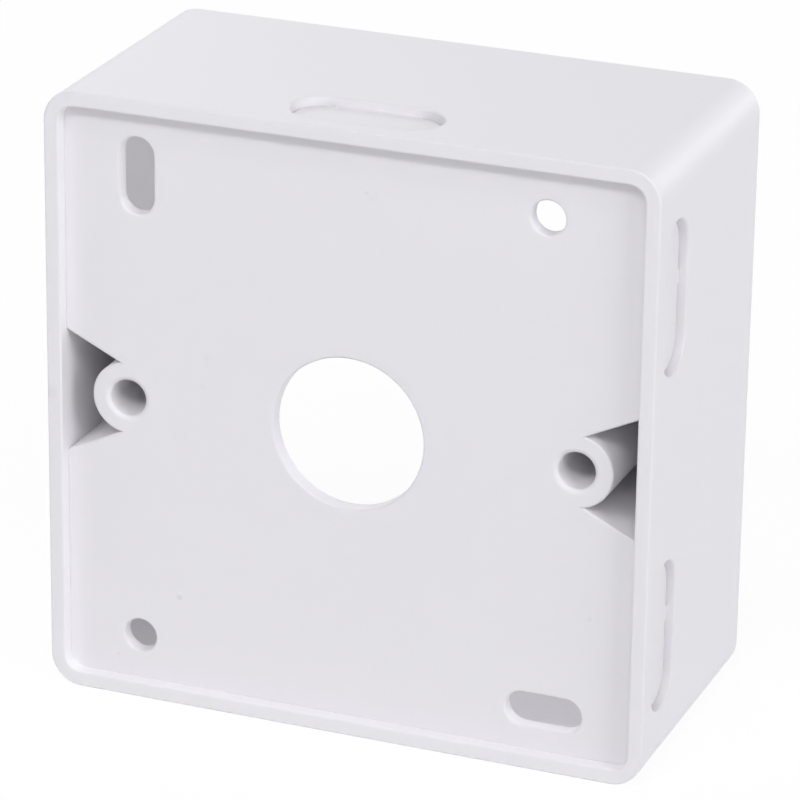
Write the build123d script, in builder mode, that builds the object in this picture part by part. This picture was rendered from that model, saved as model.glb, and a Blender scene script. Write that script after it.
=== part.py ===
"""Flush mounting box for a wall device, moulded in one piece.

X runs along the wall, Z is up and Y runs from the wall into the room.
The origin is the middle of the cable entry, on the side of the back plate that faces the wall.
All lengths are in millimetres, and all depths below are counted from the wall.
"""
import os

from build123d import *

# Case: a square tray, closed towards the wall and open towards the room
box_size = 81.0
box_depth = 38.5
wall = 2.0
corner_radius = 4.2
rim_round = 0.25

# Back plate, set in from the wall face so that only the rim touches the wall
plate_recess = 1.8
plate_thickness = 2.0
floor_round = 0.5
plate_edge_break = 0.15

# Entries and wall screws in the back plate
cable_hole_diameter = 20.2
screw_hole_diameter = 4.5
screw_slot_width = 4.7
screw_slot_length = 10.2

# Distances of the wall screws from the inner faces of the nearest walls
left_screw_inset = 9.9
right_hole_inset = 12.8
right_slot_inset = 11.8
upper_hole_inset = 6.3
upper_slot_inset = 8.5
lower_hole_inset = 5.9
lower_slot_inset = 5.3

# Two pillars that carry the device screws
device_screw_spacing = 60.3
pillar_setback = 1.5
pillar_nose_skin = 0.9
pillar_web = 1.9
pillar_roof = 3.0
screw_tube_diameter = 9.6
pocket_tube_width = 8.5
pocket_wall_width = 16.4
core_bore_diameter = 4.9
core_bore_chamfer = 0.4
pilot_diameter = 3.5
pilot_length = 12.0
pilot_chamfer = 0.5

# Knock-outs for trunking: thin places in the four sides, close to the wall
knockout_length = 20.0
knockout_width = 8.4
knockout_depth = 1.1
knockout_edge_break = 0.2
knockout_edge_gap = 2.8
knockout_corner_gap = 8.1

# Score at the foot of each knock-out, with ties left in the long sides
score_width = 0.5
score_depth = 0.4
side_tie_length = 2.0
side_tie_rise = 1.4

# Sizes that follow from the ones above
inner_size = box_size - 2 * wall
inner_radius = corner_radius - wall
cavity_floor = plate_recess + plate_thickness
pillar_front = box_depth - pillar_setback
pocket_end = pillar_front - pillar_roof
pilot_start = pillar_front - pilot_length
screw_x = device_screw_spacing / 2
wall_inner_x = inner_size / 2
left_screw_column = left_screw_inset - wall_inner_x
right_hole_column = wall_inner_x - right_hole_inset
right_slot_column = wall_inner_x - right_slot_inset
upper_hole_row = wall_inner_x - upper_hole_inset
upper_slot_row = wall_inner_x - upper_slot_inset
lower_hole_row = lower_hole_inset - wall_inner_x
lower_slot_row = lower_slot_inset - wall_inner_x
pillar_nose_radius = screw_tube_diameter / 2 + pillar_nose_skin
pillar_foot_width = pocket_wall_width + 2 * pillar_web
knockout_y = knockout_edge_gap + knockout_width / 2 - plate_recess
side_knockout_offset = box_size / 2 - knockout_corner_gap - knockout_length / 2
end_tie_length = knockout_length - knockout_width
score_length = knockout_length - 2 * score_width
score_land = knockout_width - 2 * score_width
score_floor = knockout_depth + score_depth


def at_depth(depth):
    """Plane parallel to the wall, seen from the wall; a minus amount goes into the room."""
    return Plane.XZ.offset(plate_recess - depth)


def round_edges(builder, radius, depth):
    """The circular edges of one radius that lie at one depth."""
    height = depth - plate_recess
    return builder.edges().filter_by(GeomType.CIRCLE).filter_by(
        lambda edge: abs(edge.radius - radius) < 1e-6 and abs(edge.center().Y - height) < 1e-6)


with BuildPart() as mounting_box:
    # Square shell with the plate closing it near the wall
    with BuildSketch(at_depth(0)):
        RectangleRounded(box_size, box_size, corner_radius)
    extrude(amount=-box_depth)
    with BuildSketch(at_depth(cavity_floor)):
        RectangleRounded(inner_size, inner_size, inner_radius)
    extrude(amount=-(box_depth - cavity_floor), mode=Mode.SUBTRACT)
    with BuildSketch(at_depth(0)):
        RectangleRounded(inner_size, inner_size, inner_radius)
    extrude(amount=-plate_recess, mode=Mode.SUBTRACT)

    # Inside corners between the plate and the walls
    floor_face = mounting_box.faces().filter_by(Axis.Y).sort_by(Axis.Y)[-2]
    fillet(floor_face.outer_wire().edges(), floor_round)

    # Pillars: a round nose about the screw and two flanks that spread to the side wall
    with BuildSketch(at_depth(plate_recess)):
        for side in (-1, 1):
            with BuildSketch(at_depth(plate_recess), mode=Mode.PRIVATE) as pillar_outline:
                with Locations((side * screw_x, 0)):
                    Circle(pillar_nose_radius)
                with Locations((side * (wall_inner_x + wall / 4), 0)):
                    Rectangle(wall / 2, pillar_foot_width)
                make_hull()
            add(pillar_outline.sketch_local)
    extrude(amount=-(pillar_front - plate_recess))

    # Each pillar is cored from the wall side, and the screw tube stands in the core
    with BuildSketch(at_depth(plate_recess)):
        for side in (-1, 1):
            with BuildLine():
                Polyline(
                    (side * screw_x, pocket_tube_width / 2),
                    (side * wall_inner_x, pocket_wall_width / 2),
                    (side * wall_inner_x, -pocket_wall_width / 2),
                    (side * screw_x, -pocket_tube_width / 2),
                    close=True,
                )
            make_face()
        with Locations((-screw_x, 0), (screw_x, 0)):
            Circle(screw_tube_diameter / 2, mode=Mode.SUBTRACT)
    extrude(amount=-(pocket_end - plate_recess), mode=Mode.SUBTRACT)

    # Screw tubes: a wide core from the wall side and a pilot hole from the room side
    with BuildSketch(at_depth(plate_recess)):
        with Locations((-screw_x, 0), (screw_x, 0)):
            Circle(core_bore_diameter / 2)
    extrude(amount=-(pilot_start - plate_recess), mode=Mode.SUBTRACT)
    with BuildSketch(at_depth(pilot_start)):
        with Locations((-screw_x, 0), (screw_x, 0)):
            Circle(pilot_diameter / 2)
    extrude(amount=-pilot_length, mode=Mode.SUBTRACT)

    # Cable entry, two round holes and two slots at right angles for levelling the box
    with BuildSketch(at_depth(plate_recess)):
        Circle(cable_hole_diameter / 2)
        with Locations((right_hole_column, upper_hole_row), (left_screw_column, lower_hole_row)):
            Circle(screw_hole_diameter / 2)
        with Locations((left_screw_column, upper_slot_row)):
            SlotOverall(screw_slot_length, screw_slot_width, rotation=90)
        with Locations((right_slot_column, lower_slot_row)):
            SlotOverall(screw_slot_length, screw_slot_width)
    extrude(amount=-plate_thickness, mode=Mode.SUBTRACT)

    # Knock-outs: one each in the top and bottom, two each in the left and right sides
    for side in (-1, 1):
        with BuildSketch(Plane.XY.offset(side * box_size / 2)):
            with Locations((0, knockout_y)):
                SlotOverall(knockout_length, knockout_width)
        extrude(amount=-side * knockout_depth, mode=Mode.SUBTRACT)
        with BuildSketch(Plane.YZ.offset(side * box_size / 2)):
            with Locations((knockout_y, side_knockout_offset), (knockout_y, -side_knockout_offset)):
                SlotOverall(knockout_length, knockout_width, rotation=90)
        extrude(amount=-side * knockout_depth, mode=Mode.SUBTRACT)

    # Scores: round the two ends of the top and bottom knock-outs, nearly all round the others
    for side in (-1, 1):
        with BuildSketch(Plane.XY.offset(side * box_size / 2)):
            with Locations((0, knockout_y)):
                SlotOverall(knockout_length, knockout_width)
                SlotOverall(score_length, score_land, mode=Mode.SUBTRACT)
                Rectangle(end_tie_length, knockout_width, mode=Mode.SUBTRACT)
        extrude(amount=-side * score_floor, mode=Mode.SUBTRACT)
        with BuildSketch(Plane.YZ.offset(side * box_size / 2)):
            for height in (side_knockout_offset, -side_knockout_offset):
                with Locations((knockout_y, height)):
                    SlotOverall(knockout_length, knockout_width, rotation=90)
                    SlotOverall(score_length, score_land, rotation=90, mode=Mode.SUBTRACT)
                with Locations((knockout_y, height + side_tie_rise)):
                    Rectangle(knockout_width, side_tie_length, mode=Mode.SUBTRACT)
        extrude(amount=-side * score_floor, mode=Mode.SUBTRACT)

    # Softened edges of both rims
    for rim in (mounting_box.faces().filter_by(Axis.Y).sort_by(Axis.Y)[0],
                mounting_box.faces().filter_by(Axis.Y).sort_by(Axis.Y)[-1]):
        fillet(rim.edges(), rim_round)

    # Lead-ins at the screw tubes
    chamfer(round_edges(mounting_box, core_bore_diameter / 2, plate_recess), core_bore_chamfer)
    chamfer(round_edges(mounting_box, pilot_diameter / 2, pillar_front), pilot_chamfer)

    # Broken edges where the plate and the side walls are cut
    plate_face = mounting_box.faces().filter_by(Axis.Y).group_by(Axis.Y)[1].sort_by(SortBy.AREA)[-1]
    corner_start = wall_inner_x - inner_radius
    plate_cuts = plate_face.edges().filter_by(
        lambda edge: max(abs(edge.center().X), abs(edge.center().Z)) < corner_start)
    chamfer(plate_cuts, plate_edge_break)
    for axis in (Axis.X, Axis.Z):
        for end in (0, -1):
            side_face = mounting_box.faces().filter_by(axis).sort_by(axis)[end]
            chamfer([edge for wire in side_face.inner_wires() for edge in wire.edges()], knockout_edge_break)

mounting_box.part.label = "mounting_box"

os.makedirs("parts", exist_ok=True)
export_step(mounting_box.part, "parts/mounting_box.step")
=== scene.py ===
"""Looks of the flush mounting box: white moulded plastic on a pale floor in soft studio light."""
import math

import bpy
from mathutils import Matrix, Vector


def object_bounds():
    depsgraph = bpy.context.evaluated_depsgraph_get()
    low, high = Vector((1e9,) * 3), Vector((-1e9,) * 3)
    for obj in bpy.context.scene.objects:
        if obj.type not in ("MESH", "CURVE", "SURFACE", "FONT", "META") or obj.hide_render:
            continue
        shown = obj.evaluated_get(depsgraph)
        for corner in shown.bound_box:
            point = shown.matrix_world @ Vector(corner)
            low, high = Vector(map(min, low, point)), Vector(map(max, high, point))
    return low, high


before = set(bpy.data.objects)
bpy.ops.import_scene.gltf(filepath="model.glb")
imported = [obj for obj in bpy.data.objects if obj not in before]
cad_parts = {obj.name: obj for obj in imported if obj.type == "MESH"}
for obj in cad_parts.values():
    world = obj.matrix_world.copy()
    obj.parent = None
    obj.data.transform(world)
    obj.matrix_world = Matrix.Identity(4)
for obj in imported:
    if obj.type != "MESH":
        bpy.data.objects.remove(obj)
cad_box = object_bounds()

MM = 0.001

# Directions are an azimuth and an elevation in degrees: azimuth 0 is straight out of the side of
# the box that faces the wall, and 90 is out of its right side

# Camera: a long lens, to the right of the box and above it, with the lens in millimetres
CAMERA_TARGET = Vector((6.92, 0.0, 5.74)) * MM
CAMERA_AZIMUTH = 21.39
CAMERA_ELEVATION = 21.73
CAMERA_DISTANCE = 577.3 * MM
CAMERA_ROLL = 0.82
CAMERA_LENS = 210.4
CAMERA_NEAREST = 10.0 * MM

# Lamps: flat rectangles at one distance from the box, with sizes in metres and power in watts
LAMP_DISTANCE = 2.0
LAMPS = {
    "key_light": {"azimuth": 6.0, "elevation": 45.0, "width": 1.9, "height": 0.34, "power": 14.9},
    "side_light": {"azimuth": 69.0, "elevation": 19.0, "width": 0.9, "height": 0.85, "power": 14.6},
    "left_light": {"azimuth": -75.0, "elevation": 15.0, "width": 0.5, "height": 0.5, "power": 4.0},
    "rear_left_light": {"azimuth": 219.0, "elevation": 29.0, "width": 0.9, "height": 0.6, "power": 8.6},
    "rear_light": {"azimuth": 170.0, "elevation": 6.0, "width": 1.2, "height": 0.5, "power": 9.4},
    "top_light": {"azimuth": 0.0, "elevation": 68.0, "width": 0.6, "height": 0.6, "power": 4.5},
}
LIGHT_COLOUR = (0.99, 0.99, 1.02)

# Surroundings: a dim sky that lights the box, and a white backdrop that only shows
WHITE = (1.0, 1.0, 1.0, 1.0)
SKY_STRENGTH = 0.22
BACKDROP_STRENGTH = 1.0

# Floor: paint that takes the shadow shows by this share through a white glow. FLOOR_LIT is how
# bright the paint renders where no shadow falls
FLOOR_SIZE = 6.0
FLOOR_COLOUR = (0.85, 0.85, 0.85)
FLOOR_LIT = 0.75
FLOOR_SHADOW_SHARE = 0.1

# White plastic: two close tints that cloud into each other, a satin finish and a fine grain
PLASTIC_COLOUR = (0.870, 0.858, 0.878)
PLASTIC_SHADE = (0.855, 0.843, 0.863)
PLASTIC_ROUGHNESS = (0.46, 0.56)
PLASTIC_IOR = 1.53
PLASTIC_SPECULAR = 0.3
CLOUD = {"Scale": 45.0, "Detail": 3.0, "Roughness": 0.5}
GRAIN = {"Scale": 2600.0, "Detail": 2.0, "Roughness": 0.6}
GRAIN_STRENGTH = 0.08
GRAIN_DEPTH = 0.05 * MM
EDGE_SOFTNESS = 0.3 * MM

# Marks on the plastic: middle and reach in millimetres, then how much darker than the rest
MARKS = (
    ((-23.0, 0.0, -26.3), 0.55, 0.14),
    ((-23.0, 0.0, -25.6), 0.45, -0.04),
    ((2.2, 0.0, 32.1), 0.35, 0.09),
    ((3.0, 0.0, 31.6), 0.9, 0.02),
    ((32.5, 0.0, -19.4), 0.4, 0.09),
    ((-31.7, 0.0, -35.8), 0.4, 0.09),
    ((-19.2, 0.0, 7.2), 0.7, 0.03),
    ((-19.7, 0.0, 3.3), 0.7, 0.03),
    ((-40.2, -1.8, 0.0), 1.6, 0.06),
)


def new_material(name):
    """A node material with no nodes yet, and its node tree."""
    material = bpy.data.materials.new(name)
    material.use_nodes = True
    material.node_tree.nodes.clear()
    return material, material.node_tree


def add_node(tree, kind, **values):
    """One shader node, with its inputs set by name."""
    node = tree.nodes.new(kind)
    for name, value in values.items():
        node.inputs[name.replace("_", " ")].default_value = value
    return node


def marked(tree, place, colour):
    """The colour with small marks in it, from specks in the plastic to a smudge on the rim."""
    for middle, reach, darkness in MARKS:
        distance = tree.nodes.new("ShaderNodeVectorMath")
        distance.operation = "DISTANCE"
        tree.links.new(place, distance.inputs[0])
        distance.inputs[1].default_value = Vector(middle) * MM
        fade = add_node(tree, "ShaderNodeMapRange", From_Max=reach * MM, To_Min=1.0 - darkness)
        fade.interpolation_type = "SMOOTHSTEP"
        tree.links.new(distance.outputs["Value"], fade.inputs["Value"])
        shade = tree.nodes.new("ShaderNodeVectorMath")
        shade.operation = "MULTIPLY"
        tree.links.new(colour, shade.inputs[0])
        tree.links.new(fade.outputs["Result"], shade.inputs[1])
        colour = shade.outputs["Vector"]
    return colour


def moulded_plastic():
    """White ABS: a faint cloudiness in the colour, and the fine grain of an eroded mould."""
    material, tree = new_material("white_abs")
    link = tree.links.new
    place = tree.nodes.new("ShaderNodeTexCoord").outputs["Object"]

    # Colour
    cloud = add_node(tree, "ShaderNodeTexNoise", **CLOUD)
    link(place, cloud.inputs["Vector"])
    colour = tree.nodes.new("ShaderNodeMix")
    colour.data_type = "RGBA"
    link(cloud.outputs["Fac"], colour.inputs["Factor"])
    colour.inputs["A"].default_value = (*PLASTIC_SHADE, 1.0)
    colour.inputs["B"].default_value = (*PLASTIC_COLOUR, 1.0)

    # Finish: uneven gloss, and a grain laid over softened edges
    smoothest, roughest = PLASTIC_ROUGHNESS
    roughness = add_node(tree, "ShaderNodeMapRange", To_Min=smoothest, To_Max=roughest)
    link(cloud.outputs["Fac"], roughness.inputs["Value"])
    grain = add_node(tree, "ShaderNodeTexNoise", **GRAIN)
    link(place, grain.inputs["Vector"])
    edges = add_node(tree, "ShaderNodeBevel", Radius=EDGE_SOFTNESS)
    bump = add_node(tree, "ShaderNodeBump", Strength=GRAIN_STRENGTH, Distance=GRAIN_DEPTH)
    link(grain.outputs["Fac"], bump.inputs["Height"])
    link(edges.outputs["Normal"], bump.inputs["Normal"])

    shader = add_node(
        tree, "ShaderNodeBsdfPrincipled", IOR=PLASTIC_IOR, Specular_IOR_Level=PLASTIC_SPECULAR)
    link(marked(tree, place, colour.outputs["Result"]), shader.inputs["Base Color"])
    link(roughness.outputs["Result"], shader.inputs["Roughness"])
    link(bump.outputs["Normal"], shader.inputs["Normal"])
    output = tree.nodes.new("ShaderNodeOutputMaterial")
    link(shader.outputs["BSDF"], output.inputs["Surface"])
    return material


def seen_directly(tree):
    """1 for rays that the camera, a reflection or a view through glass sends, 0 for light."""
    path = tree.nodes.new("ShaderNodeLightPath")
    total = path.outputs["Is Camera Ray"]
    for other in ("Is Glossy Ray", "Is Transmission Ray"):
        add = tree.nodes.new("ShaderNodeMath")
        add.operation = "ADD"
        add.use_clamp = True
        tree.links.new(total, add.inputs[0])
        tree.links.new(path.outputs[other], add.inputs[1])
        total = add.outputs["Value"]
    return total


def white_world():
    """Even light from all round, on a background that shows white."""
    world = bpy.data.worlds.new("studio")
    world.use_nodes = True
    tree = world.node_tree
    tree.nodes.clear()
    sky = add_node(tree, "ShaderNodeBackground", Color=(*LIGHT_COLOUR, 1.0), Strength=SKY_STRENGTH)
    backdrop = add_node(tree, "ShaderNodeBackground", Color=WHITE, Strength=BACKDROP_STRENGTH)
    mix = tree.nodes.new("ShaderNodeMixShader")
    tree.links.new(seen_directly(tree), mix.inputs["Fac"])
    tree.links.new(sky.outputs["Background"], mix.inputs[1])
    tree.links.new(backdrop.outputs["Background"], mix.inputs[2])
    output = tree.nodes.new("ShaderNodeOutputWorld")
    tree.links.new(mix.outputs["Shader"], output.inputs["Surface"])
    bpy.context.scene.world = world


def floor_material():
    """Pale paint under a white glow, which together show as white as the backdrop."""
    material, tree = new_material("pale_floor")
    paint = add_node(tree, "ShaderNodeBsdfDiffuse", Color=(*FLOOR_COLOUR, 1.0))
    glow_share = 1.0 - FLOOR_SHADOW_SHARE
    glow_strength = (BACKDROP_STRENGTH - FLOOR_LIT * FLOOR_SHADOW_SHARE) / glow_share
    glow = add_node(tree, "ShaderNodeEmission", Color=WHITE, Strength=glow_strength)
    share = tree.nodes.new("ShaderNodeMath")
    share.operation = "MULTIPLY"
    share.inputs[1].default_value = glow_share
    tree.links.new(seen_directly(tree), share.inputs[0])
    mix = tree.nodes.new("ShaderNodeMixShader")
    tree.links.new(share.outputs["Value"], mix.inputs["Fac"])
    tree.links.new(paint.outputs["BSDF"], mix.inputs[1])
    tree.links.new(glow.outputs["Emission"], mix.inputs[2])
    output = tree.nodes.new("ShaderNodeOutputMaterial")
    tree.links.new(mix.outputs["Shader"], output.inputs["Surface"])
    return material


def pale_floor():
    """A floor under the box that shows white and keeps a light shadow of it."""
    half = FLOOR_SIZE / 2
    low = cad_box[0][2]
    mesh = bpy.data.meshes.new("floor")
    corners = [(-half, -half, low), (half, -half, low), (half, half, low), (-half, half, low)]
    mesh.from_pydata(corners, [], [(0, 1, 2, 3)])
    mesh.materials.append(floor_material())
    floor = bpy.data.objects.new("floor", mesh)
    bpy.context.scene.collection.objects.link(floor)


def direction(azimuth, elevation):
    """Unit vector away from the box, for an azimuth and an elevation."""
    turn, rise = math.radians(azimuth), math.radians(elevation)
    return Vector((math.sin(turn) * math.cos(rise), -math.cos(turn) * math.cos(rise), math.sin(rise)))


def soft_light(name, azimuth, elevation, width, height, power):
    """A flat lamp that faces the middle of the box."""
    lamp = bpy.data.lights.new(name, "AREA")
    lamp.shape = "RECTANGLE"
    lamp.size = width
    lamp.size_y = height
    lamp.energy = power
    lamp.color = LIGHT_COLOUR
    holder = bpy.data.objects.new(name, lamp)
    away = direction(azimuth, elevation)
    holder.location = (Vector(cad_box[0]) + Vector(cad_box[1])) / 2 + away * LAMP_DISTANCE
    holder.rotation_euler = away.to_track_quat("Z", "Y").to_euler()
    bpy.context.scene.collection.objects.link(holder)


def photo_camera():
    """The camera, placed by the direction and distance from its target."""
    away = direction(CAMERA_AZIMUTH, CAMERA_ELEVATION)
    level_right = Vector((0.0, 0.0, 1.0)).cross(away).normalized()
    level_up = away.cross(level_right)
    roll = math.radians(CAMERA_ROLL)
    right = level_right * math.cos(roll) + level_up * math.sin(roll)
    up = away.cross(right)
    lens = bpy.data.cameras.new("camera")
    lens.lens = CAMERA_LENS
    lens.clip_start = CAMERA_NEAREST
    holder = bpy.data.objects.new("camera", lens)
    turn = Matrix((right, up, away)).transposed().to_4x4()
    holder.matrix_world = Matrix.Translation(CAMERA_TARGET + away * CAMERA_DISTANCE) @ turn
    bpy.context.scene.collection.objects.link(holder)
    bpy.context.scene.camera = holder


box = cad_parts["mounting_box"]
plastic = moulded_plastic()
for slot in box.material_slots:
    slot.material = plastic

white_world()
pale_floor()
for name, values in LAMPS.items():
    soft_light(name, **values)
photo_camera()
bpy.context.scene.view_settings.view_transform = "Standard"
